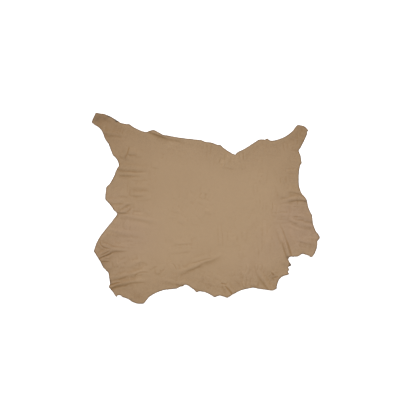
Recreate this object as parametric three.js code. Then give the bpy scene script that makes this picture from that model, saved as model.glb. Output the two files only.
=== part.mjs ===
// One whole lambskin, tanned as soft leather, lying flat with its grain side up.
// X runs along the hide, Y across it, and the surface that it lies on is z = 0.
// The hide is one sheet: flat in the middle, with low folds and slightly lifted edges.

import * as THREE from "three";

// Driving dimensions, in millimetres.
const THICKNESS = 1.2;
const EDGE_STEP = 9; // between corners along the cut edge
const EDGE_ROLL = 26; // width of the border that lifts off the surface
const FOLD_STEP = 16; // between corners along a fold
const FLAT_STEP = 34; // between corners where the sheet is flat
const FOLD_GAP = 6; // from a corner on a fold to any other corner
const BORDER_GAP = 9.6; // from a corner on the border to any other corner
const FLAT_GAP = 11; // from a corner in the flat middle to any other corner

// The corners of the flat middle stray from their rows, so that no two rows are alike.
const STRAY = 0.08; // how far, as a share of FLAT_STEP
const STRAY_BY_ROW = 3; // radians from one row to the next
const STRAY_BY_COLUMN = 5; // radians from one column to the next

// How far out the first triangle of the joining reaches, in lengths of the hide.
const FIRST_REACH = 20;

// Leather finish.
const GRAIN_COLOUR = 0xa68c6f;
const GRAIN_ROUGHNESS = 0.62;

// Turns a list of column names and short rows into named records.
function table(columns, rows) {
  const names = columns.split(" ");
  return rows.map((row) => Object.fromEntries(names.map((name, place) => [name, row[place]])));
}

// The cut edge runs clockwise in eight tables, one for each side and each shank. A row is one
// stretch of the cut: it runs to (x, y), and its middle swells outwards by bow, or inwards where
// bow is negative. The edge stands lift above the surface at the end of the stretch.
const STRETCH = "x y bow lift";

const UPPER_LEFT_SHANK = table(STRETCH, [
  [-390, 222, -6, 1],
  [-408, 269, 0.5, 1],
  [-428, 303, 2, 2],
  [-451, 341, -4, 3],
  [-479, 360, 1.5, 6],
  [-461, 401, 1.5, 5],
  [-428, 396, -1, 3],
  [-361, 360, 3, 2],
  [-322, 354, -2.5, 2],
  [-249, 319, -5, 2],
]);

const TOP_EDGE = table(STRETCH, [
  [-218, 328, 2, 4],
  [-181, 308, 1, 4],
  [-20, 286, -2, 2],
  [2, 278, -0.5, 1],
  [46, 267, 2.5, 1],
  [62, 265, 0.5, 1],
  [124, 224, -5, 1],
  [129, 231, 0.3, 2],
  [220, 287, -1.5, 2],
  [248, 288, 1.5, 2],
  [259, 293, -0.5, 3],
  [273, 283, -1.5, 2],
]);

const UPPER_RIGHT_SHANK = table(STRETCH, [
  [385, 349, -15, 4],
  [411, 345, 0.5, 4],
  [431, 326, 1, 6],
  [424, 321, -0.3, 3],
  [426, 314, 0.3, 3],
  [388, 242, 2, 1],
]);

const RIGHT_EDGE = table(STRETCH, [
  [400, 198, 3, 2],
  [403, 190, -0.3, 3],
  [396, 182, -0.5, 2],
  [388, 120, -1.3, 1],
  [405, 57, -4.5, 2],
  [424, 32, 2, 2],
  [445, -28, -3.5, 3],
  [450, -66, -0.5, 4],
  [463, -99, -1, 2],
  [479, -122, 1.3, 5],
]);

const LOWER_RIGHT_SHANK = table(STRETCH, [
  [467, -138, 1.5, 3],
  [446, -204, 7.5, 5],
  [404, -191, -0.5, 2],
  [384, -203, 0.8, 3],
  [350, -205, -0.5, 2],
  [345, -215, -0.3, 1],
  [358, -240, 0.5, 5],
  [347, -248, -2.3, 1],
  [350, -257, 0.5, 2],
  [345, -267, -0.5, 1],
  [348, -276, 0.5, 3],
  [343, -280, 0.5, 2],
  [308, -298, -4, 3],
  [297, -330, -1.3, 2],
  [298, -337, 0.3, 3],
  [280, -346, 0.5, 4],
]);

const BOTTOM_EDGE = table(STRETCH, [
  [199, -334, 0.5, 2],
  [149, -344, -1, 1],
  [90, -376, -1.2, 5],
  [58, -367, -0.8, 2],
  [35, -374, -0.5, 4],
  [-29, -349, -6, 1],
  [-39, -354, 0.5, 3],
  [-90, -321, -6, 1],
  [-123, -338, -0.7, 2],
  [-178, -344, -1, 1],
  [-240, -374, -3, 1],
  [-262, -400, 0.8, 3],
]);

const LOWER_LEFT_SHANK = table(STRETCH, [
  [-311, -392, 3, 3],
  [-350, -374, -3, 2],
  [-358, -365, 1.2, 2],
  [-371, -365, 0.3, 2],
  [-376, -373, 0.3, 5],
  [-407, -331, -1.2, 3],
  [-402, -318, 1.2, 2],
  [-410, -269, -0.6, 1],
  [-418, -263, -1.5, 2],
]);

const LEFT_EDGE = table(STRETCH, [
  [-431, -250, -1.5, 2],
  [-470, -182, -2.5, 4],
  [-430, -100, 6, 2],
  [-372, -26, -0.5, 1],
  [-386, -9, -3.5, 1],
  [-423, 38, -2, 3],
  [-418, 89, 0.5, 3],
  [-382, 140, -4, 2],
  [-365, 177, 3, 1],
]);

const CUT_EDGE = [
  ...UPPER_LEFT_SHANK,
  ...TOP_EDGE,
  ...UPPER_RIGHT_SHANK,
  ...RIGHT_EDGE,
  ...LOWER_RIGHT_SHANK,
  ...BOTTOM_EDGE,
  ...LOWER_LEFT_SHANK,
  ...LEFT_EDGE,
];

// The folds. Each crest runs from (x1, y1) past (x2, y2) to (x3, y3). Its flanks reach left and
// right of that line as wide as they say. It climbs to height over the first share of its run,
// rise, and dies away over the last, fade. A rise or fade of 0 runs out over the cut edge.
const FOLD = "name x1 y1 x2 y2 x3 y3 left right height rise fade";

const TOP_FOLDS = table(FOLD, [
  ["rolled top edge", -232, 321, -170, 299, -60, 284, 9, 8, 3, 0.1, 0.4],
  ["across the upper left shank", -442, 319, -385, 313, -318, 306, 12, 9, 2.5, 0, 0.5],
  ["below the upper left shank", -352, 231, -300, 233, -245, 221, 12, 9, 2, 0.4, 0.5],
  ["from the top notch", 120, 234, 86, 205, 71, 148, 13, 10, 2.5, 0, 0.6],
  ["right of the top notch", 150, 252, 155, 216, 158, 172, 9, 9, 1.5, 0, 0.6],
]);

const LEFT_FOLDS = table(FOLD, [
  ["upper left notch, first", -374, 172, -310, 168, -215, 160, 14, 15, 3.5, 0, 0.5],
  ["upper left notch, second", -394, 142, -320, 142, -230, 137, 12, 10, 3, 0, 0.4],
  ["inner left, upper", -335, 88, -285, 86, -215, 82, 14, 12, 2, 0.4, 0.4],
  ["inner left, lower", -330, 61, -290, 59, -225, 55, 12, 10, 1.6, 0.4, 0.4],
  ["above the left notch", -416, 30, -375, 30, -325, 37, 10, 9, 2.5, 0, 0.5],
  ["left notch, upper", -372, 2, -345, 13, -295, 31, 10, 9, 3, 0.2, 0.5],
  ["left notch, middle", -384, -14, -345, -13, -311, 4, 9, 8, 4, 0, 0.5],
  ["left notch, long", -372, -26, -290, -41, -180, -60, 14, 10, 3, 0, 0.5],
  ["lower left bulge, upper", -425, -88, -350, -103, -250, -113, 16, 11, 2.5, 0, 0.5],
  ["lower left bulge, middle", -462, -148, -405, -163, -310, -156, 14, 10, 3, 0, 0.5],
  ["lower left bulge, lower", -462, -208, -395, -176, -305, -171, 11, 9, 4.5, 0, 0.5],
]);

const LOWER_FOLDS = table(FOLD, [
  ["lower left shank, strongest", -414, -335, -350, -314, -215, -300, 12, 9, 5, 0, 0.5],
  ["lower left shank, upper", -412, -297, -335, -282, -225, -261, 13, 10, 3.5, 0, 0.4],
  ["lower left arc", -335, -249, -290, -228, -245, -238, 12, 10, 2, 0.4, 0.4],
  ["lower left scallop", -210, -302, -160, -306, -90, -318, 12, 10, 2.5, 0.4, 0],
  ["long diagonal, lower", -130, -277, -35, -238, 88, -192, 16, 12, 4, 0.2, 0.4],
  ["long diagonal, upper", -70, -232, -10, -204, 50, -190, 12, 10, 2, 0.4, 0.4],
  ["into the bottom point", 68, -312, 86, -342, 97, -378, 10, 9, 3, 0.4, 0],
  ["lower right edge", 212, -245, 240, -295, 267, -346, 11, 11, 3.5, 0.5, 0],
]);

const RIGHT_FOLDS = table(FOLD, [
  ["right edge, upper", 330, 70, 365, 70, 402, 62, 9, 9, 2, 0.5, 0],
  ["right edge, strong", 300, 27, 355, 41, 430, 35, 12, 9, 4.5, 0.5, 0],
  ["right edge, middle", 268, -27, 370, -30, 453, -46, 11, 9, 2.5, 0.4, 0],
  ["right edge, slanting", 335, -42, 385, -62, 462, -81, 10, 9, 3, 0.4, 0],
  ["right edge, lower", 370, -130, 420, -140, 476, -152, 12, 10, 2.5, 0.4, 0],
  ["lower right pleat", 308, -68, 333, -135, 349, -208, 13, 13, 5.5, 0.5, 0],
]);

const SWELLS = table(FOLD, [
  ["right swell", 248, 80, 254, -80, 250, -230, 32, 32, 1.6, 0.4, 0.4],
  ["lower right swell", 172, -150, 176, -240, 166, -335, 28, 28, 1.6, 0.4, 0.2],
  ["middle swell", 58, -70, 60, -130, 62, -195, 24, 24, 1, 0.5, 0.5],
]);

const FOLDS = [...TOP_FOLDS, ...LEFT_FOLDS, ...LOWER_FOLDS, ...RIGHT_FOLDS, ...SWELLS];

// The direction a quarter turn to the left of a run.
function leftOf(run) {
  return new THREE.Vector2(-run.y, run.x).normalize();
}

// The corners of the cut edge. The hide is on the right of a clockwise run, so left is outwards.
function cutEdgeCorners() {
  const corners = [];
  let before = CUT_EDGE.at(-1);
  for (const row of CUT_EDGE) {
    const start = new THREE.Vector2(before.x, before.y);
    const end = new THREE.Vector2(row.x, row.y);
    const outwards = leftOf(end.clone().sub(start));
    // A parabola's middle lies halfway out to the point that pulls it.
    const pull = start.clone().add(end).multiplyScalar(0.5).addScaledVector(outwards, 2 * row.bow);
    const stretch = new THREE.QuadraticBezierCurve(start, pull, end);
    const steps = Math.max(1, Math.round(stretch.getLength() / EDGE_STEP));
    for (let step = 1; step <= steps; step += 1) {
      const corner = stretch.getPointAt(step / steps);
      corner.lift = THREE.MathUtils.lerp(before.lift, row.lift, step / steps);
      corners.push(corner);
    }
    before = row;
  }
  return corners;
}

// A fold's crest as a short line of points, with how high it stands at each.
function crestLine(fold) {
  const route = new THREE.SplineCurve([
    new THREE.Vector2(fold.x1, fold.y1),
    new THREE.Vector2(fold.x2, fold.y2),
    new THREE.Vector2(fold.x3, fold.y3),
  ]);
  const steps = Math.ceil(route.getLength() / FOLD_STEP);
  const points = route.getSpacedPoints(steps);
  points.forEach((point, step) => {
    const climb = fold.rise > 0 ? THREE.MathUtils.smoothstep(step / steps, 0, fold.rise) : 1;
    const fall = fold.fade > 0 ? THREE.MathUtils.smoothstep(1 - step / steps, 0, fold.fade) : 1;
    point.lift = fold.height * climb * fall;
  });
  return points;
}

// The place on a line of points nearest to a spot: how far off, on which side, and its lift there.
function nearestOn(line, spot, closed) {
  let nearest = { distance: Infinity, side: 0, lift: 0 };
  const ends = closed ? line.length : line.length - 1;
  for (let index = 0; index < ends; index += 1) {
    const start = line[index];
    const end = line[(index + 1) % line.length];
    const run = end.clone().sub(start);
    const reach = spot.clone().sub(start);
    const share = THREE.MathUtils.clamp(reach.dot(run) / run.lengthSq(), 0, 1);
    const distance = reach.clone().addScaledVector(run, -share).length();
    if (distance < nearest.distance) {
      const lift = THREE.MathUtils.lerp(start.lift, end.lift, share);
      nearest = { distance, side: run.cross(reach), lift };
    }
  }
  return nearest;
}

// A smooth flank: 1 on the crest, and 0 from its foot outwards.
function flank(distance, width) {
  return 0.5 + 0.5 * Math.cos(Math.PI * Math.min(1, distance / width));
}

const edge = cutEdgeCorners();
const crests = FOLDS.map((fold) => ({ ...fold, line: crestLine(fold) }));

// How high the underside of the sheet stands above the surface at a spot.
function underside(spot) {
  const rim = nearestOn(edge, spot, true);
  let height = rim.lift * flank(rim.distance, EDGE_ROLL);
  for (const crest of crests) {
    const near = nearestOn(crest.line, spot, false);
    height += near.lift * flank(near.distance, near.side > 0 ? crest.left : crest.right);
  }
  return height;
}

// Whether a spot lies inside the cut edge.
function onHide(spot) {
  let inside = false;
  edge.forEach((start, index) => {
    const end = edge[(index + 1) % edge.length];
    const spans = start.y > spot.y !== end.y > spot.y;
    if (spans && spot.x < start.x + ((spot.y - start.y) * (end.x - start.x)) / (end.y - start.y)) {
      inside = !inside;
    }
  });
  return inside;
}

// Rows of corners beside a line, at each of the given distances to its left.
function besideLine(line, offsets) {
  const corners = [];
  line.forEach((point, index) => {
    const before = line[Math.max(0, index - 1)];
    const after = line[Math.min(line.length - 1, index + 1)];
    const sideways = leftOf(after.clone().sub(before));
    for (const offset of offsets) {
      corners.push(point.clone().addScaledVector(sideways, offset));
    }
  });
  return corners;
}

// All corners of the sheet: the cut edge first, then the border, the folds and the flat middle.
function sheetCorners() {
  const corners = [...edge];
  const place = (spot, gap) => {
    if (onHide(spot) && corners.every((corner) => corner.distanceTo(spot) > gap)) {
      corners.push(spot);
    }
  };
  for (const crest of crests) {
    const offsets = [0, crest.left / 2, -crest.right / 2, crest.left, -crest.right];
    besideLine(crest.line, offsets).forEach((spot) => place(spot, FOLD_GAP));
  }
  const border = [-EDGE_ROLL / 2, -EDGE_ROLL];
  besideLine(edge, border).forEach((spot) => place(spot, BORDER_GAP));
  const box = new THREE.Box2().setFromPoints(edge);
  const rowStep = FLAT_STEP * Math.sin(Math.PI / 3);
  for (let row = 0; box.min.y + row * rowStep < box.max.y; row += 1) {
    for (let column = 0; box.min.x + column * FLAT_STEP < box.max.x; column += 1) {
      const stray = STRAY * Math.sin(STRAY_BY_ROW * row + STRAY_BY_COLUMN * column);
      const along = (column + (row % 2) / 2 + stray) * FLAT_STEP;
      const spot = new THREE.Vector2(box.min.x + along, box.min.y + row * rowStep);
      place(spot, FLAT_GAP);
    }
  }
  return corners;
}

// A triangle of three corners with the circle through them.
function roundTriangle(points, a, b, c) {
  const toB = points[b].clone().sub(points[a]);
  const toC = points[c].clone().sub(points[a]);
  const twiceArea = 2 * toB.cross(toC);
  const x = (toC.y * toB.lengthSq() - toB.y * toC.lengthSq()) / twiceArea;
  const y = (toB.x * toC.lengthSq() - toC.x * toB.lengthSq()) / twiceArea;
  const centre = points[a].clone().add(new THREE.Vector2(x, y));
  return { corners: [a, b, c], centre, radiusSq: x * x + y * y };
}

// Joins corners into evenly shaped triangles. Each corner opens every triangle whose circle holds
// it, and is joined to the rim of the hole that this leaves.
function joinCorners(corners) {
  const far = FIRST_REACH * Math.max(...corners.map((corner) => corner.length()));
  const lowLeft = new THREE.Vector2(-far, -far);
  const lowRight = new THREE.Vector2(far, -far);
  const top = new THREE.Vector2(0, far);
  const points = [...corners, lowLeft, lowRight, top];
  let triangles = [roundTriangle(points, corners.length, corners.length + 1, corners.length + 2)];
  corners.forEach((corner, index) => {
    const kept = [];
    const rim = new Map();
    for (const triangle of triangles) {
      if (triangle.centre.distanceToSquared(corner) > triangle.radiusSq) {
        kept.push(triangle);
        continue;
      }
      const [a, b, c] = triangle.corners;
      for (const [from, to] of [[a, b], [b, c], [c, a]]) {
        if (!rim.delete(`${to} ${from}`)) {
          rim.set(`${from} ${to}`, [from, to]);
        }
      }
    }
    triangles = kept;
    rim.forEach(([from, to]) => triangles.push(roundTriangle(points, from, to, index)));
  });
  const joined = triangles.map((triangle) => triangle.corners);
  return joined.filter((ends) => ends.every((end) => end < corners.length));
}

// Only the triangles whose middle lies on the hide.
function trimToEdge(triangles, corners) {
  return triangles.filter(([a, b, c]) => {
    const middle = corners[a].clone().add(corners[b]).add(corners[c]).divideScalar(3);
    return onHide(middle);
  });
}

// The closed sheet: an underside, a grain side THICKNESS above it, and the cut between the two.
function hideGeometry() {
  const corners = sheetCorners();
  const faces = trimToEdge(joinCorners(corners), corners);
  const middle = new THREE.Box2().setFromPoints(edge).getCenter(new THREE.Vector2());
  const position = [];
  for (const level of [0, THICKNESS]) {
    for (const corner of corners) {
      position.push(corner.x - middle.x, corner.y - middle.y, underside(corner) + level);
    }
  }
  const grainSide = corners.length;
  const index = [];
  const cut = new Map();
  for (const [a, b, c] of faces) {
    index.push(a, c, b, a + grainSide, b + grainSide, c + grainSide);
    for (const [from, to] of [[a, b], [b, c], [c, a]]) {
      if (!cut.delete(`${to} ${from}`)) {
        cut.set(`${from} ${to}`, [from, to]);
      }
    }
  }
  cut.forEach(([from, to]) => {
    index.push(from, to, to + grainSide, from, to + grainSide, from + grainSide);
  });
  const geometry = new THREE.BufferGeometry();
  geometry.setAttribute("position", new THREE.Float32BufferAttribute(position, 3));
  geometry.setIndex(index);
  geometry.computeVertexNormals();
  return geometry;
}

function lambskinHide() {
  const leather = new THREE.MeshStandardMaterial({
    color: GRAIN_COLOUR,
    roughness: GRAIN_ROUGHNESS,
    metalness: 0,
  });
  const hide = new THREE.Mesh(hideGeometry(), leather);
  hide.name = "lambskin_hide";
  return hide;
}

const leatherHide = new THREE.Group();
leatherHide.add(lambskinHide());

export default leatherHide;
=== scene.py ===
"""A whole lambskin, tanned as soft garment leather, laid flat on a studio floor with its grain side up.

The hide is one closed sheet. Its outline and its main folds come from the CAD hide in the frame. Its
creases, ridges and nicks, and its blotches of dye and of painted light and shade, are listed in the
tables below. The tables are in millimetres, in the frame's axes, with the floor at 0. All else is in
metres, unless it says otherwise.
"""

import math
from functools import partial
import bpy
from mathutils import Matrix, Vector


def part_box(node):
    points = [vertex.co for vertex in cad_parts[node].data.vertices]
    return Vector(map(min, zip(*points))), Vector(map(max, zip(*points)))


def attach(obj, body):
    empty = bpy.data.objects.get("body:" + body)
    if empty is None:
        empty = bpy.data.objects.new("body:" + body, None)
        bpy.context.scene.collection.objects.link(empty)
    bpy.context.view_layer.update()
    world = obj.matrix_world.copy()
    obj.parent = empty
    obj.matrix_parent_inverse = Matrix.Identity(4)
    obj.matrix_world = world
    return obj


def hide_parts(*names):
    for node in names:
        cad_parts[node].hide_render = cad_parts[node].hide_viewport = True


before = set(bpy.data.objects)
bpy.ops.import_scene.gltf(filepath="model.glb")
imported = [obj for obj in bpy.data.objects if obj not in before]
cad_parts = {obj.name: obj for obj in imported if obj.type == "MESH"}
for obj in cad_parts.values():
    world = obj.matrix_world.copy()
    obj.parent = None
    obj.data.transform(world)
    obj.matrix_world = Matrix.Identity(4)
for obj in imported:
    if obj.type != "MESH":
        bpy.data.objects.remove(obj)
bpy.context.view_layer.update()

from types import SimpleNamespace

import bmesh
import bpy
import numpy as np
from bpy.props import FloatProperty, FloatVectorProperty, PointerProperty
from mathutils import Vector, noise
from mathutils.bvhtree import BVHTree
from mathutils.geometry import delaunay_2d_cdt
from mathutils.kdtree import KDTree

bl_info = {
    "name": "Lambskin Hide",
    "version": (1, 0, 0),
    "blender": (4, 5, 0),
    "location": "3D View > Sidebar > Lambskin",
    "description": "A whole lambskin of soft garment leather, laid flat with its grain side up",
    "category": "Add Mesh",
}

MM = 0.001
CAD_NODE = "lambskin_hide"


def named(columns, numbers):
    """One row of a table: its numbers, by the names of their columns."""
    return SimpleNamespace(**dict(zip(columns.split(), numbers, strict=True)))


def table(columns, rows):
    """All rows of a table, by the names of their columns."""
    return [named(columns, row) for row in rows]


# ---------------------------------------------------------------- tables

# The creases. Each runs from (x1, y1) past (x2, y2) to (x3, y3). There the sheet steps up to height
# over a width of steep, with the high side on the left of the run, and sinks back more gently. Where
# height is below 0, it steps down instead. A crease gains its height over the first share of its run,
# rise, and loses it over the last, fade. Where one of them is 0 it runs out over the cut edge.
CREASE = "x1 y1 x2 y2 x3 y3 height steep rise fade"

TOP_CREASES = table(CREASE, [
    [-240, 319, -204, 307, -158, 291, 3.6, 7, 0.05, 0.25],
    [-172, 293, -140, 287, -92, 281, 0.3, 5, 0.2, 0.35],
    [-232, 172, -215, 170, -195, 170, 0.8, 6, 0.3, 0.3],
    [78, 173, 95, 170, 125, 164, 0.9, 6, 0.2, 0.3],
    [382, 169, 357, 169, 334, 167, -0.5, 5, 0, 0.3],
    [336, 148, 356, 148, 382, 146, 0.8, 5, 0.2, 0.1],
    [362, 246, 371, 245, 384, 243, 0.9, 5, 0.4, 0],
])

UPPER_LEFT_CREASES = table(CREASE, [
    [-325, 302, -380, 303, -440, 319, -0.8, 9, 0.4, 0],
    [-333, 224, -312, 224, -290, 224, 1.3, 6, 0.2, 0.2],
    [-294, 217, -282, 216, -268, 216, 0.7, 6, 0.2, 0.4],
    [-226, 157, -300, 154, -366, 164, -1.1, 9, 0.5, 0],
    [-368, 143, -320, 136, -258, 140, 1.3, 6, 0, 0.65],
    [-320, 118, -290, 117, -260, 117, 0.8, 5, 0.3, 0.3],
    [-322, 73, -285, 75, -238, 72, 0.8, 16, 0.15, 0.25],
    [-322, 53, -290, 51, -250, 55, 1.1, 5, 0.15, 0.4],
    [-292, 34, -270, 35, -246, 34, 0.5, 6, 0.3, 0.3],
    [-343, 23, -370, 19, -400, 18, -1.2, 6, 0.3, 0],
])

LEFT_NOTCH_CREASES = table(CREASE, [
    [-364, -15, -345, 5, -308, 21, 1.9, 7, 0, 0.3],
    [-370, -19, -348, -20, -325, -17, 3.0, 6, 0, 0.3],
    [-306, -8, -285, -11, -262, -12, 1.2, 6, 0.2, 0.4],
    [-344, -30, -285, -49, -190, -64, 0.3, 6, 0.1, 0.35],
])

LOWER_LEFT_CREASES = table(CREASE, [
    [-400, -98, -345, -114, -258, -122, 0.4, 7, 0.45, 0.4],
    [-440, -158, -421, -168, -391, -176, 0.8, 4, 0.15, 0.2],
    [-293, -166, -345, -162, -414, -154, -0.7, 5, 0.3, 0.2],
    [-444, -211, -418, -198, -390, -182, 1.4, 6, 0, 0.2],
    [-404, -187, -370, -181, -316, -179, 1.5, 5, 0.2, 0.3],
    [-445, -201, -425, -190, -396, -176, 0.8, 4, 0, 0.2],
    [-440, -224, -422, -225, -401, -226, 2.2, 5, 0, 0.3],
    [-364, -212, -350, -208, -327, -200, 0.6, 5, 0.3, 0.3],
    [-345, -250, -315, -247, -288, -238, 0.5, 5, 0.3, 0.2],
    [-292, -236, -264, -226, -236, -243, 0.8, 5, 0.1, 0.3],
])

LOWER_LEFT_SHANK_CREASES = table(CREASE, [
    [-404, -304, -364, -298, -316, -277, 0.8, 4, 0.5, 0.2],
    [-406, -340, -365, -327, -310, -316, 1.1, 4, 0, 0.4],
    [-332, -319, -300, -314, -250, -311, 0.4, 5, 0.15, 0.5],
    [-406, -325, -388, -319, -358, -310, 1.1, 4, 0, 0.3],
    [-302, -293, -297, -282, -288, -275, 1.0, 4, 0.2, 0.2],
    [-297, -284, -279, -274, -228, -268, 0.8, 5, 0.1, 0.3],
    [-212, -277, -200, -275, -186, -272, 1.4, 5, 0.3, 0.3],
    [-230, -258, -222, -247, -203, -240, 1.2, 5, 0.2, 0.3],
    [-192, -306, -150, -313, -94, -325, 0.2, 5, 0.25, 0],
    [-128, -317, -112, -321, -92, -326, 1.4, 6, 0.3, 0],
])

MIDDLE_CREASES = table(CREASE, [
    [-144, -290, -112, -282, -72, -266, 0.7, 6, 0.3, 0.3],
    [-85, -267, -45, -252, -20, -239, 1.7, 5, 0.25, 0.1],
    [-28, -239, 0, -228, 40, -215, 1.0, 5, 0.15, 0.4],
    [20, -221, 45, -210, 78, -194, 0.8, 6, 0.3, 0.35],
    [-62, -233, -20, -221, 32, -206, 1.1, 4, 0.3, 0.3],
    [-150, -153, -95, -151, -56, -145, 1.0, 5, 0.4, 0.15],
    [-127, -164, -92, -164, -56, -163, 0.3, 4, 0.1, 0.15],
    [-160, -189, -110, -187, -56, -174, 0.5, 5, 0.15, 0.1],
    [-108, -134, -70, -131, -28, -112, 0.5, 6, 0.2, 0.3],
    [-126, -50, -102, -64, -78, -73, 0.7, 6, 0.2, 0.3],
    [-142, -12, -122, -16, -98, -18, 0.7, 9, 0.3, 0.3],
    [-78, 37, -58, 29, -36, 13, 0.35, 6, 0.2, 0.3],
    [-26, 48, -16, 44, -2, 42, 1.3, 6, 0.2, 0.3],
    [-26, 67, -8, 62, 12, 58, 0.8, 6, 0.2, 0.3],
    [-14, -18, 0, -20, 14, -24, 0.2, 6, 0.2, 0.3],
])

RIGHT_CREASES = table(CREASE, [
    [343, 68, 370, 65, 402, 56, 2.2, 5, 0.25, 0],
    [384, 46, 345, 41, 306, 29, 2.0, 10, 0.1, 0.4],
    [300, 39, 335, 48, 385, 63, 1.9, 12, 0.3, 0.2],
    [306, 20, 345, 27, 374, 34, 0.5, 5, 0.2, 0.2],
    [334, 22, 380, 33, 426, 26, 1.8, 5, 0.3, 0],
    [386, 17, 405, 16, 422, 14, 0.7, 4, 0.3, 0],
    [355, 9, 385, 8, 422, 6, 0.9, 4, 0.3, 0],
    [277, -17, 295, -18, 312, -17, 0.8, 6, 0.15, 0.15],
    [277, -31, 305, -33, 348, -32, 0.6, 5, 0.15, 0.2],
    [362, -34, 388, -36, 415, -38, 0.5, 5, 0.2, 0.2],
    [288, -45, 318, -45, 350, -46, 0.5, 4, 0.2, 0.2],
    [406, -41, 425, -42, 450, -42, 0.35, 4, 0.2, 0],
    [343, -47, 362, -57, 382, -67, 0.9, 5, 0.2, 0.1],
    [374, -65, 395, -77, 420, -85, 0.3, 5, 0.2, 0.3],
    [382, -49, 398, -50, 416, -51, 0.4, 5, 0.2, 0.2],
    [408, -53, 430, -55, 456, -61, 1.1, 6, 0.2, 0],
    [277, -58, 310, -60, 348, -60, 0.5, 5, 0.2, 0.2],
    [364, -61, 373, -63, 404, -59, 0.5, 5, 0.2, 0.2],
    [400, -70, 425, -78, 457, -81, 0.35, 5, 0.2, 0],
    [380, -137, 415, -148, 462, -158, 0.6, 4, 0.2, 0.1],
    [408, -134, 418, -134, 430, -134, 0.2, 4, 0.3, 0.3],
])

LOWER_RIGHT_CREASES = table(CREASE, [
    [318, -84, 333, -128, 354, -188, 1.0, 5, 0.15, 0.1],
    [318, -152, 329, -180, 342, -210, 0.6, 5, 0.3, 0],
    [211, -258, 219, -280, 233, -303, 1.1, 5, 0.25, 0.1],
    [228, -296, 241, -315, 262, -342, 1.7, 5, 0.15, 0],
    [240, -263, 262, -267, 286, -270, 0.15, 8, 0.3, 0.2],
    [183, -325, 198, -327, 218, -329, 2.2, 6, 0.2, 0.1],
])

CREASES = [
    *TOP_CREASES,
    *UPPER_LEFT_CREASES,
    *LEFT_NOTCH_CREASES,
    *LOWER_LEFT_CREASES,
    *LOWER_LEFT_SHANK_CREASES,
    *MIDDLE_CREASES,
    *RIGHT_CREASES,
    *LOWER_RIGHT_CREASES,
]

# Soft ridges, whose flanks reach as far as width on both sides. Where height is below 0, the ridge is
# a narrow valley between two low lips. Each runs as a crease does. Along its line the leather is
# darker by the share in its last column, as painted shade, and paler where that share is below 0, as
# painted light.
RIDGE = "x1 y1 x2 y2 x3 y3 height width dye"

UPRIGHT_RIDGES = table(RIDGE, [
    [10, 274, 11, 240, 10, 203, 0.9, 7, 0],
    [22, 274, 22, 255, 22, 228, -0.8, 4, 0.04],
    [25, 202, 25, 186, 26, 168, 0.4, 9, 0],
    [61, 210, 58, 200, 55, 186, -1.5, 5, 0.05],
    [80, 238, 79, 225, 75, 203, -0.4, 4, 0],
    [75, 204, 75, 188, 72, 166, 1.6, 7, -0.01],
    [71, 206, 69, 186, 65, 166, 0.1, 8, -0.08],
    [91, 232, 92, 218, 91, 203, 0.5, 6, -0.06],
    [155, 243, 157, 222, 158, 200, -1.6, 4, 0.09],
    [146, 228, 147, 215, 148, 200, 0.7, 5, -0.035],
    [165, 234, 166, 218, 167, 200, 0.7, 5, 0],
    [157, 186, 157, 175, 157, 164, 1.3, 8, 0],
    [208, 104, 208, 80, 208, 54, 0.6, 7, 0],
    [228, 64, 228, 34, 228, 2, -0.3, 5, 0.02],
    [246, 38, 247, 10, 246, -20, 0.7, 7, 0],
    [248, -48, 247, -85, 251, -138, 1.5, 12, 0],
    [236, -85, 236, -140, 237, -190, -0.3, 6, 0.02],
    [256, -120, 259, -160, 256, -198, 0.6, 12, 0],
    [222, -70, 222, -100, 221, -135, 0.4, 9, 0],
    [206, -145, 207, -156, 208, -168, 0.7, 8, 0],
    [212, -164, 213, -178, 213, -194, 0.5, 8, 0],
    [295, -120, 298, -150, 300, -176, 0.5, 13, 0],
    [266, -190, 268, -220, 266, -244, 0.3, 10, 0],
    [58, -64, 58, -120, 59, -170, 0.9, 7, 0],
    [70, -96, 70, -130, 71, -170, -0.6, 4, 0.03],
    [91, -96, 91, -115, 91, -136, -0.3, 6, 0.02],
    [163, -94, 163, -115, 163, -136, 0.8, 8, 0],
    [150, -94, 150, -115, 151, -136, -0.3, 6, 0.02],
    [147, -180, 147, -194, 150, -208, 0.7, 9, 0],
    [280, 30, 281, 12, 280, -8, -0.9, 4, 0.05],
    [292, 14, 291, 0, 290, -18, 0.6, 8, 0],
])

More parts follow.
